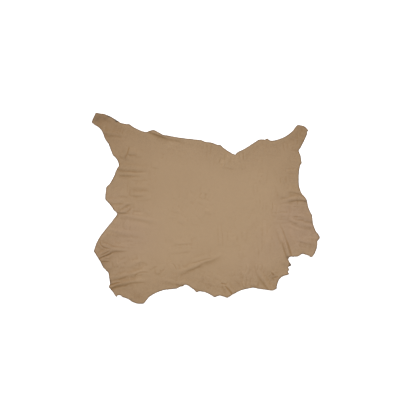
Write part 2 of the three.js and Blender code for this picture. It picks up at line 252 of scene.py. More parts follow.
TOP_RIDGES = table(RIDGE, [
    [-345, 334, -350, 320, -352, 308, -0.7, 5, 0.04],
    [-335, 293, -370, 291, -402, 293, 0.3, 7, -0.05],
    [-235, 148, -290, 145, -350, 151, 0.3, 6, -0.05],
    [-384, 162, -315, 155, -235, 157, -0.2, 11, 0.06],
    [-332, 200, -327, 212, -322, 224, 0.3, 5, -0.05],
    [382, 160, 357, 160, 334, 158, 0.3, 5, -0.05],
    [360, 234, 371, 234, 384, 232, 0.2, 5, -0.04],
    [-164, 277, -132, 272, -98, 262, 0.6, 13, -0.03],
    [-366, 224, -358, 210, -346, 203, -0.5, 7, 0.03],
    [-322, 78, -280, 80, -230, 76, -0.5, 14, 0.1],
    [-341, 206, -337, 216, -332, 227, -1.2, 7, 0.07],
    [-332, 222, -326, 240, -321, 260, -1.5, 6, 0.17],
    [-331, 104, -330, 82, -331, 60, -0.5, 4, 0.03],
    [-262, 44, -245, 45, -226, 50, 0.6, 11, 0],
    [388, 326, 390, 292, 386, 262, 1.8, 6, 0],
    [399, 308, 397, 284, 397, 262, 0.7, 6, 0],
    [404, 340, 402, 330, 400, 320, -0.5, 5, 0.03],
    [323, 276, 326, 256, 331, 236, -0.5, 5, 0.03],
    [335, 274, 335, 262, 335, 248, 0.5, 7, 0],
    [344, 272, 344, 258, 345, 244, -0.3, 5, 0.02],
    [354, 224, 353, 205, 356, 182, -0.3, 8, 0.02],
    [326, 130, 327, 118, 326, 106, 1.2, 7, 0],
    [337, 137, 340, 118, 336, 100, -0.2, 4, 0.01],
    [315, 130, 313, 117, 317, 102, -0.7, 4, 0.04],
    [344, 142, 345, 120, 343, 98, 0.5, 5, 0],
])

LEFT_RIDGES = table(RIDGE, [
    [-337, -6, -328, 0, -319, 5, 0.8, 6, 0],
    [-331, -15, -322, -8, -315, 4, -1.8, 4, 0.1],
    [-319, -34, -312, -14, -304, 2, 0.8, 8, 0],
    [-260, -6, -246, -14, -235, -24, 0.7, 8, 0],
    [-353, -77, -345, -82, -339, -90, -0.5, 7, 0.02],
    [-374, -130, -340, -131, -298, -130, 0.5, 7, 0],
    [-364, -148, -332, -148, -298, -148, 0.6, 7, 0],
    [-306, -19, -285, -22, -262, -23, 0.3, 6, -0.07],
    [-447, -190, -433, -181, -413, -169, 0.2, 5, -0.06],
    [-440, -225, -422, -226, -401, -227, -1.0, 4, 0.1],
    [-388, -346, -362, -338, -330, -329, 0.2, 7, -0.05],
    [-403, -314, -388, -309, -370, -305, 0.2, 5, -0.06],
    [-390, -303, -360, -298, -320, -280, -0.5, 6, 0.07],
    [-340, -321, -300, -314, -252, -312, -0.8, 5, 0.08],
    [-301, -287, -280, -273, -236, -269, -1.2, 5, 0.16],
    [-442, -132, -443, -152, -428, -163, -1.8, 4, 0.26],
    [-427, -206, -418, -208, -403, -209, 1.6, 6, -0.04],
    [-380, -237, -360, -231, -333, -215, 0.7, 10, 0],
    [-264, -246, -248, -252, -230, -257, 0.7, 10, 0],
    [-400, -331, -390, -328, -378, -324, 1.0, 5, -0.08],
    [-452, -214, -418, -201, -390, -186, -3.4, 4, 0.19],
    [-448, -202, -425, -191, -396, -176, -2.8, 4, 0.2],
    [-439, -159, -421, -168, -394, -175, -2.0, 4, 0.1],
    [-432, -144, -414, -149, -392, -156, -0.6, 5, 0.02],
    [-424, -327, -390, -319, -350, -309, -3.2, 5, 0.42],
    [-358, -337, -330, -334, -286, -328, 0.3, 9, 0],
    [-420, -346, -390, -335, -356, -323, -0.3, 4, 0.1],
    [-370, -314, -328, -305, -284, -299, 0.1, 9, 0.23],
    [-404, -158, -368, -163, -328, -163, 0.1, 9, 0.22],
    [-358, -30, -374, -42, -404, -74, 0.1, 12, -0.1],
    [-422, -98, -398, -106, -370, -110, 0.1, 10, -0.09],
    [-336, -277, -300, -264, -254, -248, 0.1, 9, 0.15],
    [-396, -76, -418, -100, -444, -128, 0.1, 14, -0.06],
    [-336, -52, -290, -62, -230, -72, 0.1, 22, -0.045],
])

LOWER_RIDGES = table(RIDGE, [
    [-172, -250, -177, -260, -191, -268, -1.1, 5, 0.06],
    [-142, -230, -130, -243, -123, -260, -1.0, 4, 0.06],
    [-157, -232, -146, -248, -147, -268, 0.6, 9, 0],
    [-9, -286, -12, -300, -15, -314, -0.2, 6, 0.01],
    [10, -284, 10, -294, 11, -306, 0.7, 10, 0],
    [3, -315, 15, -322, 30, -326, -0.4, 8, 0.02],
    [176, -236, 179, -257, 167, -278, 1.4, 9, 0],
    [169, -264, 163, -288, 157, -316, 0.9, 8, 0],
    [157, -306, 160, -322, 167, -336, 3.2, 8, 0],
    [148, -264, 148, -272, 148, -281, -1.3, 4, 0.07],
    [170, -286, 171, -302, 171, -318, -0.5, 5, 0.03],
    [122, -311, 138, -318, 147, -334, -0.5, 8, 0.03],
    [212, -236, 213, -247, 213, -260, 1.9, 6, 0],
    [227, -236, 222, -256, 218, -272, 0.6, 7, 0],
    [236, -236, 236, -247, 236, -259, -0.8, 4, 0.04],
    [78, -323, 97, -344, 120, -374, -4.0, 5, 0.23],
    [60, -315, 73, -317, 88, -320, -1.7, 5, 0.25],
    [92, -313, 98, -325, 104, -336, 1.4, 6, 0],
    [74, -322, 76, -331, 75, -340, 1.7, 6, -0.02],
    [272, -268, 280, -278, 288, -286, -2.1, 6, 0.15],
    [284, -291, 295, -291, 306, -286, -1.8, 7, 0.28],
    [238, -302, 251, -325, 264, -344, -0.4, 7, 0.26],
    [277, -262, 283, -271, 291, -279, 0.4, 5, -0.12],
])

RIGHT_RIDGES = table(RIDGE, [
    [356, -44, 368, -51, 379, -58, 0.7, 8, -0.04],
    [345, -67, 368, -81, 414, -96, 0.6, 8, -0.06],
    [326, -136, 338, -162, 350, -196, 1.5, 7, -0.05],
    [312, -98, 322, -136, 336, -176, 0.3, 8, -0.1],
    [318, -80, 336, -128, 361, -202, -2.4, 8, 0.12],
    [351, -174, 358, -190, 361, -208, -1.3, 8, 0.13],
    [310, -66, 314, -79, 321, -92, -0.6, 7, 0.04],
    [317, -146, 328, -176, 341, -210, -1.0, 6, 0.1],
    [300, -84, 310, -116, 319, -148, 0.9, 9, 0],
    [404, -123, 418, -123, 432, -123, 0.2, 5, -0.04],
    [362, -34, 388, -36, 415, -38, -0.6, 4, 0.17],
    [382, -49, 398, -50, 416, -51, -0.8, 4, 0.06],
    [310, 13, 350, 12, 385, 13, 0.5, 8, -0.03],
    [338, -88, 349, -122, 358, -156, 0.5, 12, 0],
    [388, 33, 408, 29, 440, 25, -0.8, 4, 0.12],
    [372, -138, 416, -147, 470, -161, -0.4, 5, 0.02],
    [252, -50, 252, -100, 256, -165, 0.1, 34, -0.045],
    [350, -80, 360, -108, 370, -134, 0.1, 18, -0.06],
    [318, -30, 346, -33, 374, -32, 0.1, 12, -0.06],
    [424, -124, 446, -124, 468, -126, 0.1, 8, -0.08],
])

MIDDLE_RIDGES = table(RIDGE, [
    [-5, -4, 4, -8, 16, -14, 0.6, 9, -0.035],
    [-112, 63, -96, 55, -78, 47, 0.45, 9, 0],
    [-64, -234, -24, -221, 46, -203, -0.5, 5, 0.09],
    [-44, 37, -25, 28, -3, 19, 0.5, 10, 0],
    [-162, -34, -145, -35, -126, -38, 0.6, 8, 0],
])

RIDGES = [*UPRIGHT_RIDGES, *TOP_RIDGES, *LEFT_RIDGES, *LOWER_RIDGES, *RIGHT_RIDGES, *MIDDLE_RIDGES]

# Patches of slight wrinkles round (x, y), reaching as far as reach_x and reach_y. The wrinkles lie
# at about turn degrees from the X axis, and length and height are those of the middling ones.
PATCHES = table("x y reach_x reach_y turn count length height", [
    [350, 0, 80, 85, -4, 40, 40, 0.5],
    [405, -130, 60, 50, -8, 24, 36, 0.45],
    [278, -305, 26, 30, -52, 14, 22, 0.6],
    [-290, 105, 75, 85, 0, 28, 40, 0.4],
    [-350, -120, 90, 70, -8, 32, 40, 0.4],
    [-330, -265, 85, 60, 12, 40, 34, 0.5],
    [-290, -350, 70, 35, 5, 14, 30, 0.4],
    [-150, -255, 90, 50, 8, 26, 32, 0.4],
    [-60, 10, 90, 85, -28, 34, 34, 0.35],
    [-90, -150, 70, 45, 8, 16, 36, 0.3],
    [-80, 215, 120, 50, 78, 22, 34, 0.35],
    [240, 195, 130, 85, 86, 40, 38, 0.4],
    [195, -100, 90, 120, 88, 46, 42, 0.4],
    [190, -280, 75, 50, 80, 28, 28, 0.5],
    [40, -310, 70, 40, 60, 20, 26, 0.5],
    [-395, 335, 60, 55, -25, 26, 32, 0.6],
    [392, 300, 34, 48, 82, 16, 30, 0.6],
])

# Broad soft blotches round (x, y), as wide as reach. In their middle the colour is nearer to that of
# the shanks by the share brown, nearer to that of the belly by the share grey, and nearer to the nearly
# black colour by about the share dark. Besides tones of the dye, some of the paler ones, where brown
# is below 0, are painted light that lifts places the folds leave in shade.
BLOTCHES = table("x y reach brown grey dark", [
    [-450, 375, 45, 0.65, 0, 0],
    [-80, 280, 70, -0.18, 0, 0],
    [125, 225, 45, -0.32, 0, 0],
    [-110, 155, 110, 0.15, 0, 0],
    [-255, 50, 60, 0.16, 0, 0],
    [295, 180, 70, 0.2, 0, 0],
    [0, -205, 60, 0.18, 0, 0],
    [-366, -36, 14, -0.4, 0, 0],
    [-385, -330, 30, 0.25, 0, 0],
    [-150, 268, 16, -0.25, 0, 0],
    [-12, -297, 10, 0.25, 0, 0],
    [14, -324, 12, 0.2, 0, 0],
    [138, -322, 12, 0.25, 0, 0],
    [272, -282, 16, 0.15, 0, 0],
    [-400, -155, 10, 0.2, 0, 0],
    [-240, 222, 45, 0.14, 0, 0],
    [300, -235, 35, 0.12, 0, 0],
    [-392, -60, 18, -0.22, 0, 0],
    [-330, -185, 30, 0.1, 0, 0],
    [-345, -338, 35, 0.12, 0, 0],
    [-290, -388, 28, 0.3, 0, 0],
    [-385, -235, 25, -0.1, 0, 0],
    [385, -50, 45, -0.12, 0, 0],
    [55, -130, 30, -0.1, 0, 0],
    [-450, -165, 15, -0.55, 0, 0],
    [327, -156, 12, -0.4, 0, 0],
    [350, -125, 14, -0.2, 0, 0],
    [365, -150, 30, -0.2, 0, 0],
    [302, 40, 28, 0.14, 0, 0],
    [315, -120, 40, -0.1, 0, 0],
    [280, -130, 60, -0.12, 0, 0],
    [385, 20, 40, -0.12, 0, 0],
    [-220, -235, 45, 0.12, 0, 0],
    [228, -100, 70, -0.25, 0, 0],
    [-385, 45, 40, -0.15, 0.4, 0],
    [-310, -95, 80, -0.1, 0, 0],
    [180, -282, 30, -0.2, 0, 0],
    [-390, 325, 60, 0.4, 0, 0],
    [-330, 250, 90, 0.2, 0, 0],
    [402, 315, 55, 0.4, 0, 0],
    [-280, 130, 80, 0.14, 0, 0],
    [-360, -50, 70, -0.2, 0, 0],
    [-430, -180, 50, 0.15, 0.5, 0],
    [-370, -290, 75, 0.15, 0.3, 0],
    [-270, -360, 50, 0.1, 0, 0],
    [-320, -110, 110, 0, 0.8, 0],
    [420, -100, 100, -0.3, 0.95, 0],
    [290, -150, 90, -0.4, 0.45, 0],
    [190, -260, 70, 0, 0.4, 0],
    [360, -20, 70, 0, 0.7, 0],
    [-416, -96, 20, -0.28, 0, 0],
    [-436, -118, 16, -0.15, 0, 0],
    [-330, 42, 16, 0.15, 0, 0],
    [404, -186, 24, 0.25, 0, 0],
    [240, -262, 20, 0.18, 0, 0],
    [74, 190, 15, -0.3, 0, 0],
    [162, -324, 14, -0.6, 0, 0],
    [-360, -250, 18, -0.25, 0, 0],
    [-420, 338, 17, -0.25, 0, 0],
    [452, -152, 22, 0.22, 0, 0],
    [-106, -316, 12, -0.15, 0, 0],
    [-178, 297, 12, -0.2, 0, 0],
    [-369, 206, 14, 0.2, 0, 0],
    [-366, -5, 9, 0.45, 0, 0],
    [-308, 68, 20, 0.16, 0, 0],
    [-238, 46, 18, -0.12, 0, 0],
    [80, -256, 30, 0.13, 0, 0],
    [376, 245, 14, 0.2, 0, 0],
    [-256, 168, 20, 0.12, 0, 0],
    [-424, -230, 13, 0.25, 0, 0],
    [333, -238, 9, 0.4, 0, 0],
    [-375, 14, 12, -0.3, 0, 0],
    [-281, -2, 10, 0.2, 0, 0],
    [-226, 309, 12, -0.35, 0, 0],
    [-323, -217, 10, 0.25, 0, 0],
    [-386, -276, 12, -0.25, 0, 0],
    [-399, 77, 12, -0.25, 0, 0],
    [429, -38, 8, 0.3, 0, 0],
    [269, -314, 10, -0.25, 0, 0],
    [-369, 127, 12, -0.25, 0, 0],
    [372, 93, 16, -0.25, 0, 0],
    [-459, 378, 10, 0, 0, 0.25],
    [-448, 384, 8, 0, 0, 0.2],
    [-434, 380, 11, 0, 0, 0.18],
    [-465, 368, 7, 0, 0, 0.32],
    [-451, 366, 8, 0, 0, 0.12],
    [-420, 376, 8, 0, 0, 0.12],
    [-408, 389, 6, 0, 0, 1.7],
    [-400, 386, 4.5, 0, 0, 1.3],
    [-374, 368, 5.5, 0, 0, 1.7],
    [-383, 374, 5, 0, 0, 0.6],
    [-425, 311, 12, 0, 0, 0.08],
    [-338, 212, 10, 0, 0, 0.12],
    [283, -286, 14, 0, 0, 0.1],
    [344, -206, 7, 0, 0, 0.5],
    [354, -238, 6, 0, 0, 1.0],
    [-100, -321, 7, 0, 0, 0.3],
    [-398, -318, 5, 0, 0, 0.3],
    [-400, -306, 6, 0, 0, 0.3],
    [-314, -384, 6, 0, 0, 0.3],
    [-437, -238, 10, 0, 0, 0.25],
    [446, -60, 7, 0, 0, 0.3],
    [416, 28, 6, 0, 0, 0.3],
])

# Small nicks and bows of the cut edge: the place on the edge, and how deep and wide each one is. Where
# the depth is below 0, the edge stands out instead.
NICKS = table("x y depth width", [
    [357, -202, 4, 5],
    [345, -249, 4, 8],
    [345, -268, 3, 6],
    [-22, -352, 3, 4],
    [-99, -322, -4, 14],
    [441, -200, -4, 10],
    [353, -238, -3, 8],
    [-281, -400, -1.5, 50],
    [-81, -324, 1.2, 24],
    [-58, -335, -1.9, 22],
    [346, -273, -1.6, 16],
    [389, 121, -1.5, 50],
    [401, 263, -1.6, 40],
    [377, 339, -2.0, 28],
    [138, 236, -1.8, 22],
    [90, 241, -1.6, 40],
    [-388, 127, -1.6, 34],
])

# ---------------------------------------------------------------- settings

# Noises that make the hide uneven: how wide their humps are in millimetres, and what share each has.
HUMPS = {
    "stray east": (34, 1),
    "stray north": (34, 1),
    "vigour": (40, 0.35),
    "broad": (75, 0.5),
    "middling": (24, 0.24),
    "small": (8, 0.1),
    "waves": (17, 1),
    "hand": (10, 1),
    "blade": (4, 0.6),
}
FIRST_LAYER = 1.5  # of the noise. Each kind has a layer of its own, so that no two are alike.

GRID_STEP = 2 * MM  # between the heights of the relief
GRID_MARGIN = 4 * GRID_STEP  # from the hide's box to the sides of the grid
BLUR_ENDS = 2.5  # a blur takes in what lies within this many times its reach
LEAST_KNOWN = 0.05  # keeps the blurred folds from being divided by 0 where there is no hide
LINE_STEP = 6 * MM  # between the points of a crease's line
SINK_BACK = 6  # a crease sinks back over this many times its steep width
RUN_OUT = 40 * MM  # how far a crease that runs out over the cut edge goes on straight
LIP_REACH, LIP_HEIGHT = 4.5, 0.6  # of a valley's lips, as shares of its width and its depth
ENDS = 0.25  # a ridge or a slight wrinkle gains and loses its height over this share of its run
WRINKLE_SEED = 7
WRINKLE_TURN = 9  # how much the directions of slight wrinkles differ, in degrees
WRINKLE_HALF = (0.3, 0.7)  # half of a wrinkle's length, as a share of its patch's length
WRINKLE_BEND = (-0.15, 0.15)  # how far its middle bends aside, as a share of that half
WRINKLE_HEIGHT = (0.5, 1.3)  # as a share of its patch's height
WRINKLE_STEEP = (5, 8)  # in millimetres
RUFFLE_BORDER = 14 * MM  # the waves of the cut edge reach in as far as this
HUMP_LIFT, RUFFLE_LIFT = 0.5, 0.2  # the humps and the waves rise more than they dip, by this share
CALM_EDGES = 0.8  # the humps are lower by this share at the cut edge
TOUCH_DOWN = 0.3 * MM  # how softly the sheet turns where it meets the floor
LOOSE_BORDER = 130 * MM  # the skin is looser, and took more dye, this near its cut edge
BROWN_EDGES = 0.34  # how much nearer to the shanks' colour it is at the cut edge
CREST_REACH = 4 * MM  # crests and troughs are those of the height averaged over about this reach
CREST_DEPTH = 0.6 * MM  # one as high or deep as this is half as greyed and dimmed, or as darkened by painted shade, as it can be
MEASURES = ("border", "local_rise", "gathered", "brown", "grey", "dark")  # that the materials read

UPWARDS = 0.5  # a face counts as the grain side's if its normal rises more than this
WELD_WITHIN = 0.01 * MM  # corners of the CAD sheet that are as near as this are one
MERGE_WITHIN = 0.0001 * MM  # and so are corners of the new sheet that are as near as this
INSIDE_ONLY = 1  # asks delaunay_2d_cdt for the triangles inside the ring
FINE_BORDER = 7 * MM  # the sheet is finely joined this near its cut edge
FINE_BEND, FINE_REACH = 20, 3 * MM  # and wherever it bends more than this in 1 / m, over that reach
MOSTLY = 0.5  # a place is fine, or on the hide, if more of its surroundings than this are
EDGE_GAP = 0.55  # from the cut edge to any other corner, in fine steps
THIN_BORDER = 7 * MM  # the sheet gets thinner from here to its cut edge
RIM_BULGE = 0.15 * MM  # how far the cut stands out at half its height

COLOUR_A, COLOUR_B, MIXED_COLOUR = 6, 7, 2  # a Mix node's sockets for colours
TROUGH_SHADE = 0.62  # how much of the painted crease shade's colour the deepest troughs take on
RUBBED_AND_DIMMED = 0.35  # how much of the belly's greyer, darker colour the highest crests take on: part rubbed wear, part painted shade that dims their light
LINE_BESIDE_CUT = (1.2 * MM, 4.8 * MM)  # the darker line beside the cut edge fades out over this
LINE_STRAY = 4 * MM  # and strays by up to half of this
OVERHEAD_SIZE, OVERHEAD_HEIGHT = (3.0, 2.4), 3.0
WINDOW_SPREAD = math.radians(20)
FLOOR_HALF, FLOOR_LEVEL = 12.0, -0.1 * MM
CAMERA_SPOT = (8.9 * MM, 0.5 * MM)  # above the floor here, so that the hide lies a little off centre

Length = partial(FloatProperty, min=0, subtype="DISTANCE", unit="LENGTH")
Share = partial(FloatProperty, min=0, subtype="FACTOR")
Colour = partial(FloatVectorProperty, min=0, max=1, subtype="COLOR")


class HideSettings(bpy.types.PropertyGroup):
    """Sizes of the hide that its CAD solid leaves open."""

    fine_step: Length(
        name="Fine Step", description="Between corners at creases and along the cut edge",
        default=2.6 * MM, min=0.001,
    )
    fold_softness: Length(
        name="Fold Softness", description="How far the CAD folds are smoothed", default=5 * MM,
    )
    crease_depth: Share(
        name="Crease Depth", description="Height of the creases, as a share of the tables' heights",
        default=1.0, max=2,
    )
    crease_stray: Length(
        name="Crease Stray", description="How far a crease wanders off its line", default=2.2 * MM,
    )
    unevenness: Length(
        name="Unevenness", description="Height of the broad humps where the leather doesn't touch down",
        default=0.9 * MM,
    )
    ruffle: Length(
        name="Edge Ruffle", description="Height of the small waves along the cut edge",
        default=0.8 * MM,
    )
    thinning: Share(
        name="Thinning", description="How much thinner the leather is at the cut edge",
        default=0.4, max=0.8,
    )
    raggedness: Length(
        name="Raggedness", description="How far the knife strayed along the cut edge",
        default=0.7 * MM,
    )


class LeatherSettings(bpy.types.PropertyGroup):
    """Colours and grain of the leather, with the colour of the painted shade in its creases."""

    grain_colour: Colour(
        name="Grain", description="The grain side in the middle of the hide",
        default=(0.346, 0.2278, 0.1242),
    )
    belly_colour: Colour(
        name="Belly", description="The grain side towards the belly, where it is greyer",
        default=(0.325, 0.210, 0.1245),
    )
    shank_colour: Colour(
        name="Shanks", description="The grain side out at the shanks, where the dye took darker",
        default=(0.251, 0.150, 0.070),
    )
    # Painted shade: the colour that the troughs and the ridges' valleys take on in place of their
    # shade.
    crease_shade_colour: Colour(
        name="Creases", description="Down in the creases, where the dye gathered",
        default=(0.19, 0.083, 0.006),
    )
    # Nearly black patches, on the cut edge and at the tips of the shanks.
    blackish_colour: Colour(
        name="Stains", description="The nearly black stains out at the shanks and at the cut edge",
        default=(0.05, 0.028, 0.012),
    )
    edge_colour: Colour(
        name="Cut Edge", description="The cut edge and the darker line beside it",
        default=(0.115, 0.053, 0.014),
    )
    flesh_colour: Colour(
        name="Flesh Side", description="The suede underside", default=(0.42, 0.31, 0.21),
    )
    grain_size: Length(
        name="Grain Size", description="Width of one pebble of the grain", default=1.1 * MM,
        min=0.0002,
    )
    grain_depth: Length(
        name="Grain Depth", description="Depth of the lines between the pebbles", default=0.06 * MM,
    )
    roughness: Share(
        name="Roughness", description="How matt the grain side is", default=0.55, max=1,
    )


class StageSettings(bpy.types.PropertyGroup):
    """The floor, the lights and the camera."""

    floor_colour: Colour(
        name="Floor", description="The pale studio floor", default=(0.92, 0.92, 0.92),
    )
    floor_glow: FloatProperty(
        name="Floor Glow", description="How much the floor shines by itself, as a light table does",
        default=0.45, min=0,
    )
    overhead_power: FloatProperty(
        name="Overhead", description="Power of the broad light above the hide",
        default=67, min=0, unit="POWER",
    )
    window_strength: FloatProperty(
        name="Window", description="Strength of the soft light from beyond the hide's top edge",
        default=1.25, min=0,
    )
    window_height: FloatProperty(
        name="Window Height", description="How steeply the window's light falls",
        default=math.radians(38), min=0, max=math.radians(90), subtype="ANGLE", unit="ROTATION",
    )
    ambience: FloatProperty(
        name="Ambience", description="Strength of the light from all round", default=0.295, min=0,
    )
    picture_width: Length(
        name="Picture Width", description="How much of the floor the camera takes in",
        default=1.747, min=0.1,
    )
    camera_height: Length(
        name="Camera Height", description="Height of the camera above the floor",
        default=5.0, min=1,
    )


# ---------------------------------------------------------------- relief


def ramp(share):
    """Rises smoothly from 0 to 1 as share does."""
    share = np.clip(share, 0, 1)
    return share * share * (3 - 2 * share)


def blurred(values, reach):
    """A grid of values, each averaged over about that reach."""
    half = max(1, math.ceil(BLUR_ENDS * reach / GRID_STEP))
    weights = np.exp(-0.5 * (np.arange(-half, half + 1) * GRID_STEP / reach) ** 2)
    weights /= weights.sum()
    for axis in (0, 1):
        values = np.apply_along_axis(np.convolve, axis, values, weights, mode="same")
    return values


def humps(kind, east, north):
    """Smooth noise of that kind, which rises about as much as it dips."""
    width, share = HUMPS[kind]
    layer = FIRST_LAYER + list(HUMPS).index(kind)
    spots = zip(east.ravel() / (width * MM), north.ravel() / (width * MM), strict=True)
    return share * np.array([noise.noise((x, y, layer)) for x, y in spots]).reshape(east.shape)


def line_of(row):
    """Points along a crease, on the parabola through its three places, with their share of its run."""
    first, middle, last = np.array([[row.x1, row.y1], [row.x2, row.y2], [row.x3, row.y3]]) * MM
    pull = 2 * middle - (first + last) / 2
    count = 2 + int(np.linalg.norm(last - first) / LINE_STEP)
    share = np.linspace(0, 1, count)[:, None]
    line = (1 - share) ** 2 * first + 2 * share * (1 - share) * pull + share**2 * last
    return line, share[:, 0]


def run_out(line, row):
    """Moves on the ends of a crease's line where it runs out over the cut edge."""
    for kept, end, before in ((row.rise, 0, 1), (row.fade, -1, -2)):
        if kept == 0:
            onwards = line[end] - line[before]
            line[end] += RUN_OUT * onwards / np.linalg.norm(onwards)


def beside(line, share, spots, reach):
    """Which spots are near a line, how far each lies to its left, and how far along its run."""
    near = ((spots > line.min(0) - reach) & (spots < line.max(0) + reach)).all(1)
    spots = spots[near]
    nearest = np.full(len(spots), np.inf)
    side = np.zeros(len(spots))
    along = np.zeros(len(spots))
    for index in range(len(line) - 1):
        run = line[index + 1] - line[index]
        away = spots - line[index]
        part = np.clip(away @ run / (run @ run), 0, 1)
        distance = np.linalg.norm(away - part[:, None] * run, axis=1)
        closer = distance < nearest
        nearest[closer] = distance[closer]
        side[closer] = np.sign(run[0] * away[closer, 1] - run[1] * away[closer, 0])
        along[closer] = share[index] + part[closer] * (share[index + 1] - share[index])
    return near, nearest * side, along


def strength(along, rise, fade):
    """The share of its height that a crease has at each place along its run."""
    kept = np.ones(len(along))
    if rise > 0:
        kept *= ramp(along / rise)
    if fade > 0:
        kept *= ramp((1 - along) / fade)
    return kept


def slight_wrinkles():
    """Rows for the creases of the patches, strewn at random but the same each time."""
    chance = np.random.default_rng(WRINKLE_SEED)
    rows = []
    for patch in PATCHES:
        for _ in range(patch.count):
            reach, bearing = math.sqrt(chance.uniform()), chance.uniform(0, 2 * math.pi)
            x = patch.x + patch.reach_x * reach * math.cos(bearing)
            y = patch.y + patch.reach_y * reach * math.sin(bearing)
            turn = math.radians(patch.turn + WRINKLE_TURN * chance.standard_normal())
            half = patch.length * chance.uniform(*WRINKLE_HALF)
            bend = half * chance.uniform(*WRINKLE_BEND)
            east, north = half * math.cos(turn), half * math.sin(turn)
            middle = (x - bend * math.sin(turn), y + bend * math.cos(turn))
            height = patch.height * chance.uniform(*WRINKLE_HEIGHT) * chance.choice([-1, 1])
            shape = (height, chance.uniform(*WRINKLE_STEEP), ENDS, ENDS)
            rows.append(named(CREASE, [x - east, y - north, *middle, x + east, y + north, *shape]))
    return rows


class Relief:
    """The sheet's underside above the floor, its crests and troughs, and its dye and painted light and
    shade, on a square grid over the hide.
    """

    def __init__(self, cad, edge, settings):
        low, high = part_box(CAD_NODE)
        self.low = np.array(low[:2]) - GRID_MARGIN
        counts = np.ceil((np.array(high[:2]) + GRID_MARGIN - self.low) / GRID_STEP).astype(int)
        self.x = self.low[0] + np.arange(counts[0]) * GRID_STEP
        self.y = self.low[1] + np.arange(counts[1]) * GRID_STEP
        self.east, self.north = np.meshgrid(self.x, self.y)
        self.border = self.from_edge(edge)
        folds, self.on_hide = self.cad_folds(cad)
        known = blurred(self.on_hide.astype(float), settings.fold_softness)
        soft = blurred(folds, settings.fold_softness) / np.maximum(known, LEAST_KNOWN)
        # self.gathered holds the painted shade along the ridges, and painted light where it is below 0.
        creased, self.gathered = self.creases(settings)
        self.height = self.touched_down(soft + creased + self.ripples(settings))
        # How far each place rises above its surroundings, or sinks below them: the grain side paints
        # shade into the troughs by it, and greys and dims the crests.
        crest = self.height - blurred(self.height, CREST_REACH)
        self.local_rise = crest / (np.abs(crest) + CREST_DEPTH)
        self.local_rise[~self.on_hide] = 0
        self.brown, self.grey, self.dark = self.dye()
        self.slope_y, self.slope_x = np.gradient(self.height, GRID_STEP)
        bend_yy, bend_xy = np.gradient(self.slope_y, GRID_STEP)
        bend_xx = np.gradient(self.slope_x, GRID_STEP)[1]
        self.bend = np.sqrt(bend_xx**2 + bend_yy**2 + 2 * bend_xy**2)

    def over_grid(self, look_up):
        """What look_up finds at each place of the grid."""
        spots = zip(self.east.ravel(), self.north.ravel(), strict=True)
        return np.array([look_up(x, y) for x, y in spots]).reshape(self.east.shape)

    def from_edge(self, edge):
        """How far each place of the grid is from the cut edge."""
        tree = KDTree(len(edge))
        for index, (x, y) in enumerate(edge):
            tree.insert((x, y, 0), index)
        tree.balance()

        def distance_at(x, y):
            _, _, distance = tree.find((x, y, 0))
            return distance

        return self.over_grid(distance_at)

    def cad_folds(self, cad):
        """The underside of the CAD sheet: its height at each place, and where there is any."""
        corners = [v.co for v in cad.data.vertices]
        faces = [p.vertices[:] for p in cad.data.polygons if p.normal.z < -UPWARDS]
        tree = BVHTree.FromPolygons(corners, faces)
        up = Vector((0, 0, 1))

        def height_at(x, y):
            place = tree.ray_cast(Vector((x, y, -1)), up)[0]
            return math.nan if place is None else place.z

        height = self.over_grid(height_at)
        return np.nan_to_num(height), ~np.isnan(height)

    def creases(self, settings):
        """The heights of all creases and ridges, which stray from their lines, and the painted shade
        and light along the ridges.
        """
        stray = settings.crease_stray
        east = self.east + stray * humps("stray east", self.east, self.north)
        north = self.north + stray * humps("stray north", self.east, self.north)
        spots = np.stack([east.ravel(), north.ravel()], 1)
        total, gathered = np.zeros(len(spots)), np.zeros(len(spots))
        for row in [*CREASES, *slight_wrinkles()]:
            line, share = line_of(row)
            run_out(line, row)
            steep, soft = row.steep * MM, SINK_BACK * row.steep * MM
            near, left, along = beside(line, share, spots, steep + soft)
            step = ramp(left / steep + 0.5)
            sink = 1 - ramp((left - steep / 2) / soft)
            total[near] += row.height * MM * strength(along, row.rise, row.fade) * step * sink
        for row in RIDGES:
            width, lips = row.width * MM, LIP_REACH * row.width * MM
            near, left, along = beside(*line_of(row), spots, lips)
            kept = strength(along, ENDS, ENDS)
            across = 1 - ramp(np.abs(left) / width)
            # Painted shade along the ridge's line; painted light where its share is below 0.
            gathered[near] += row.dye * kept * across
            if row.height < 0:
                across -= LIP_HEIGHT * (1 - ramp(np.abs(left) / lips))
            total[near] += row.height * MM * kept * across
        vigour = 1 + humps("vigour", self.east, self.north)
        total = settings.crease_depth * (total.reshape(vigour.shape) * vigour)
        return total, gathered.reshape(vigour.shape)

    def ripples(self, settings):
        """Broad humps, small ones, and waves along the cut edge."""
        broad, middling, small, waves = (
            humps(kind, self.east, self.north) for kind in ("broad", "middling", "small", "waves")
        )
        near_edge = 1 - ramp(self.border / RUFFLE_BORDER)
        lying = settings.unevenness * (HUMP_LIFT + broad + middling + small)
        ruffled = settings.ruffle * (RUFFLE_LIFT + waves) * near_edge
        return lying * (1 - CALM_EDGES * near_edge) + ruffled

    def touched_down(self, height):
        """Heights that don't sink into the floor, with a soft turn where the sheet meets it."""
        height = (height + np.sqrt(height**2 + TOUCH_DOWN**2)) / 2
        return height - height[self.on_hide].min()

    def dye(self):
        """How brown, how grey and how dark the colour is at each place, as shares, from the dye's tones
        and from blotches, some of which are painted light.
        """
        brown = BROWN_EDGES * (1 - ramp(self.border / LOOSE_BORDER))
        grey, dark = np.zeros(self.east.shape), np.zeros(self.east.shape)
        for row in BLOTCHES:
            away = np.hypot(self.east - row.x * MM, self.north - row.y * MM) / (row.reach * MM)
            near = np.exp(-(away**2))
            brown += near * row.brown
            grey += near * row.grey
            dark += near * row.dark
        return brown, grey, dark

    def at(self, values, spots):
        """Values of a grid at any spots, each read from the four places round it."""
        place = (spots - self.low) / GRID_STEP
        corner = np.floor(place).astype(int)
        x, y = (place - corner).T
        column, row = corner.T
        near = values[row, column] * (1 - x) + values[row, column + 1] * x
        far = values[row + 1, column] * (1 - x) + values[row + 1, column + 1] * x
        return near * (1 - y) + far * y


# ---------------------------------------------------------------- sheet


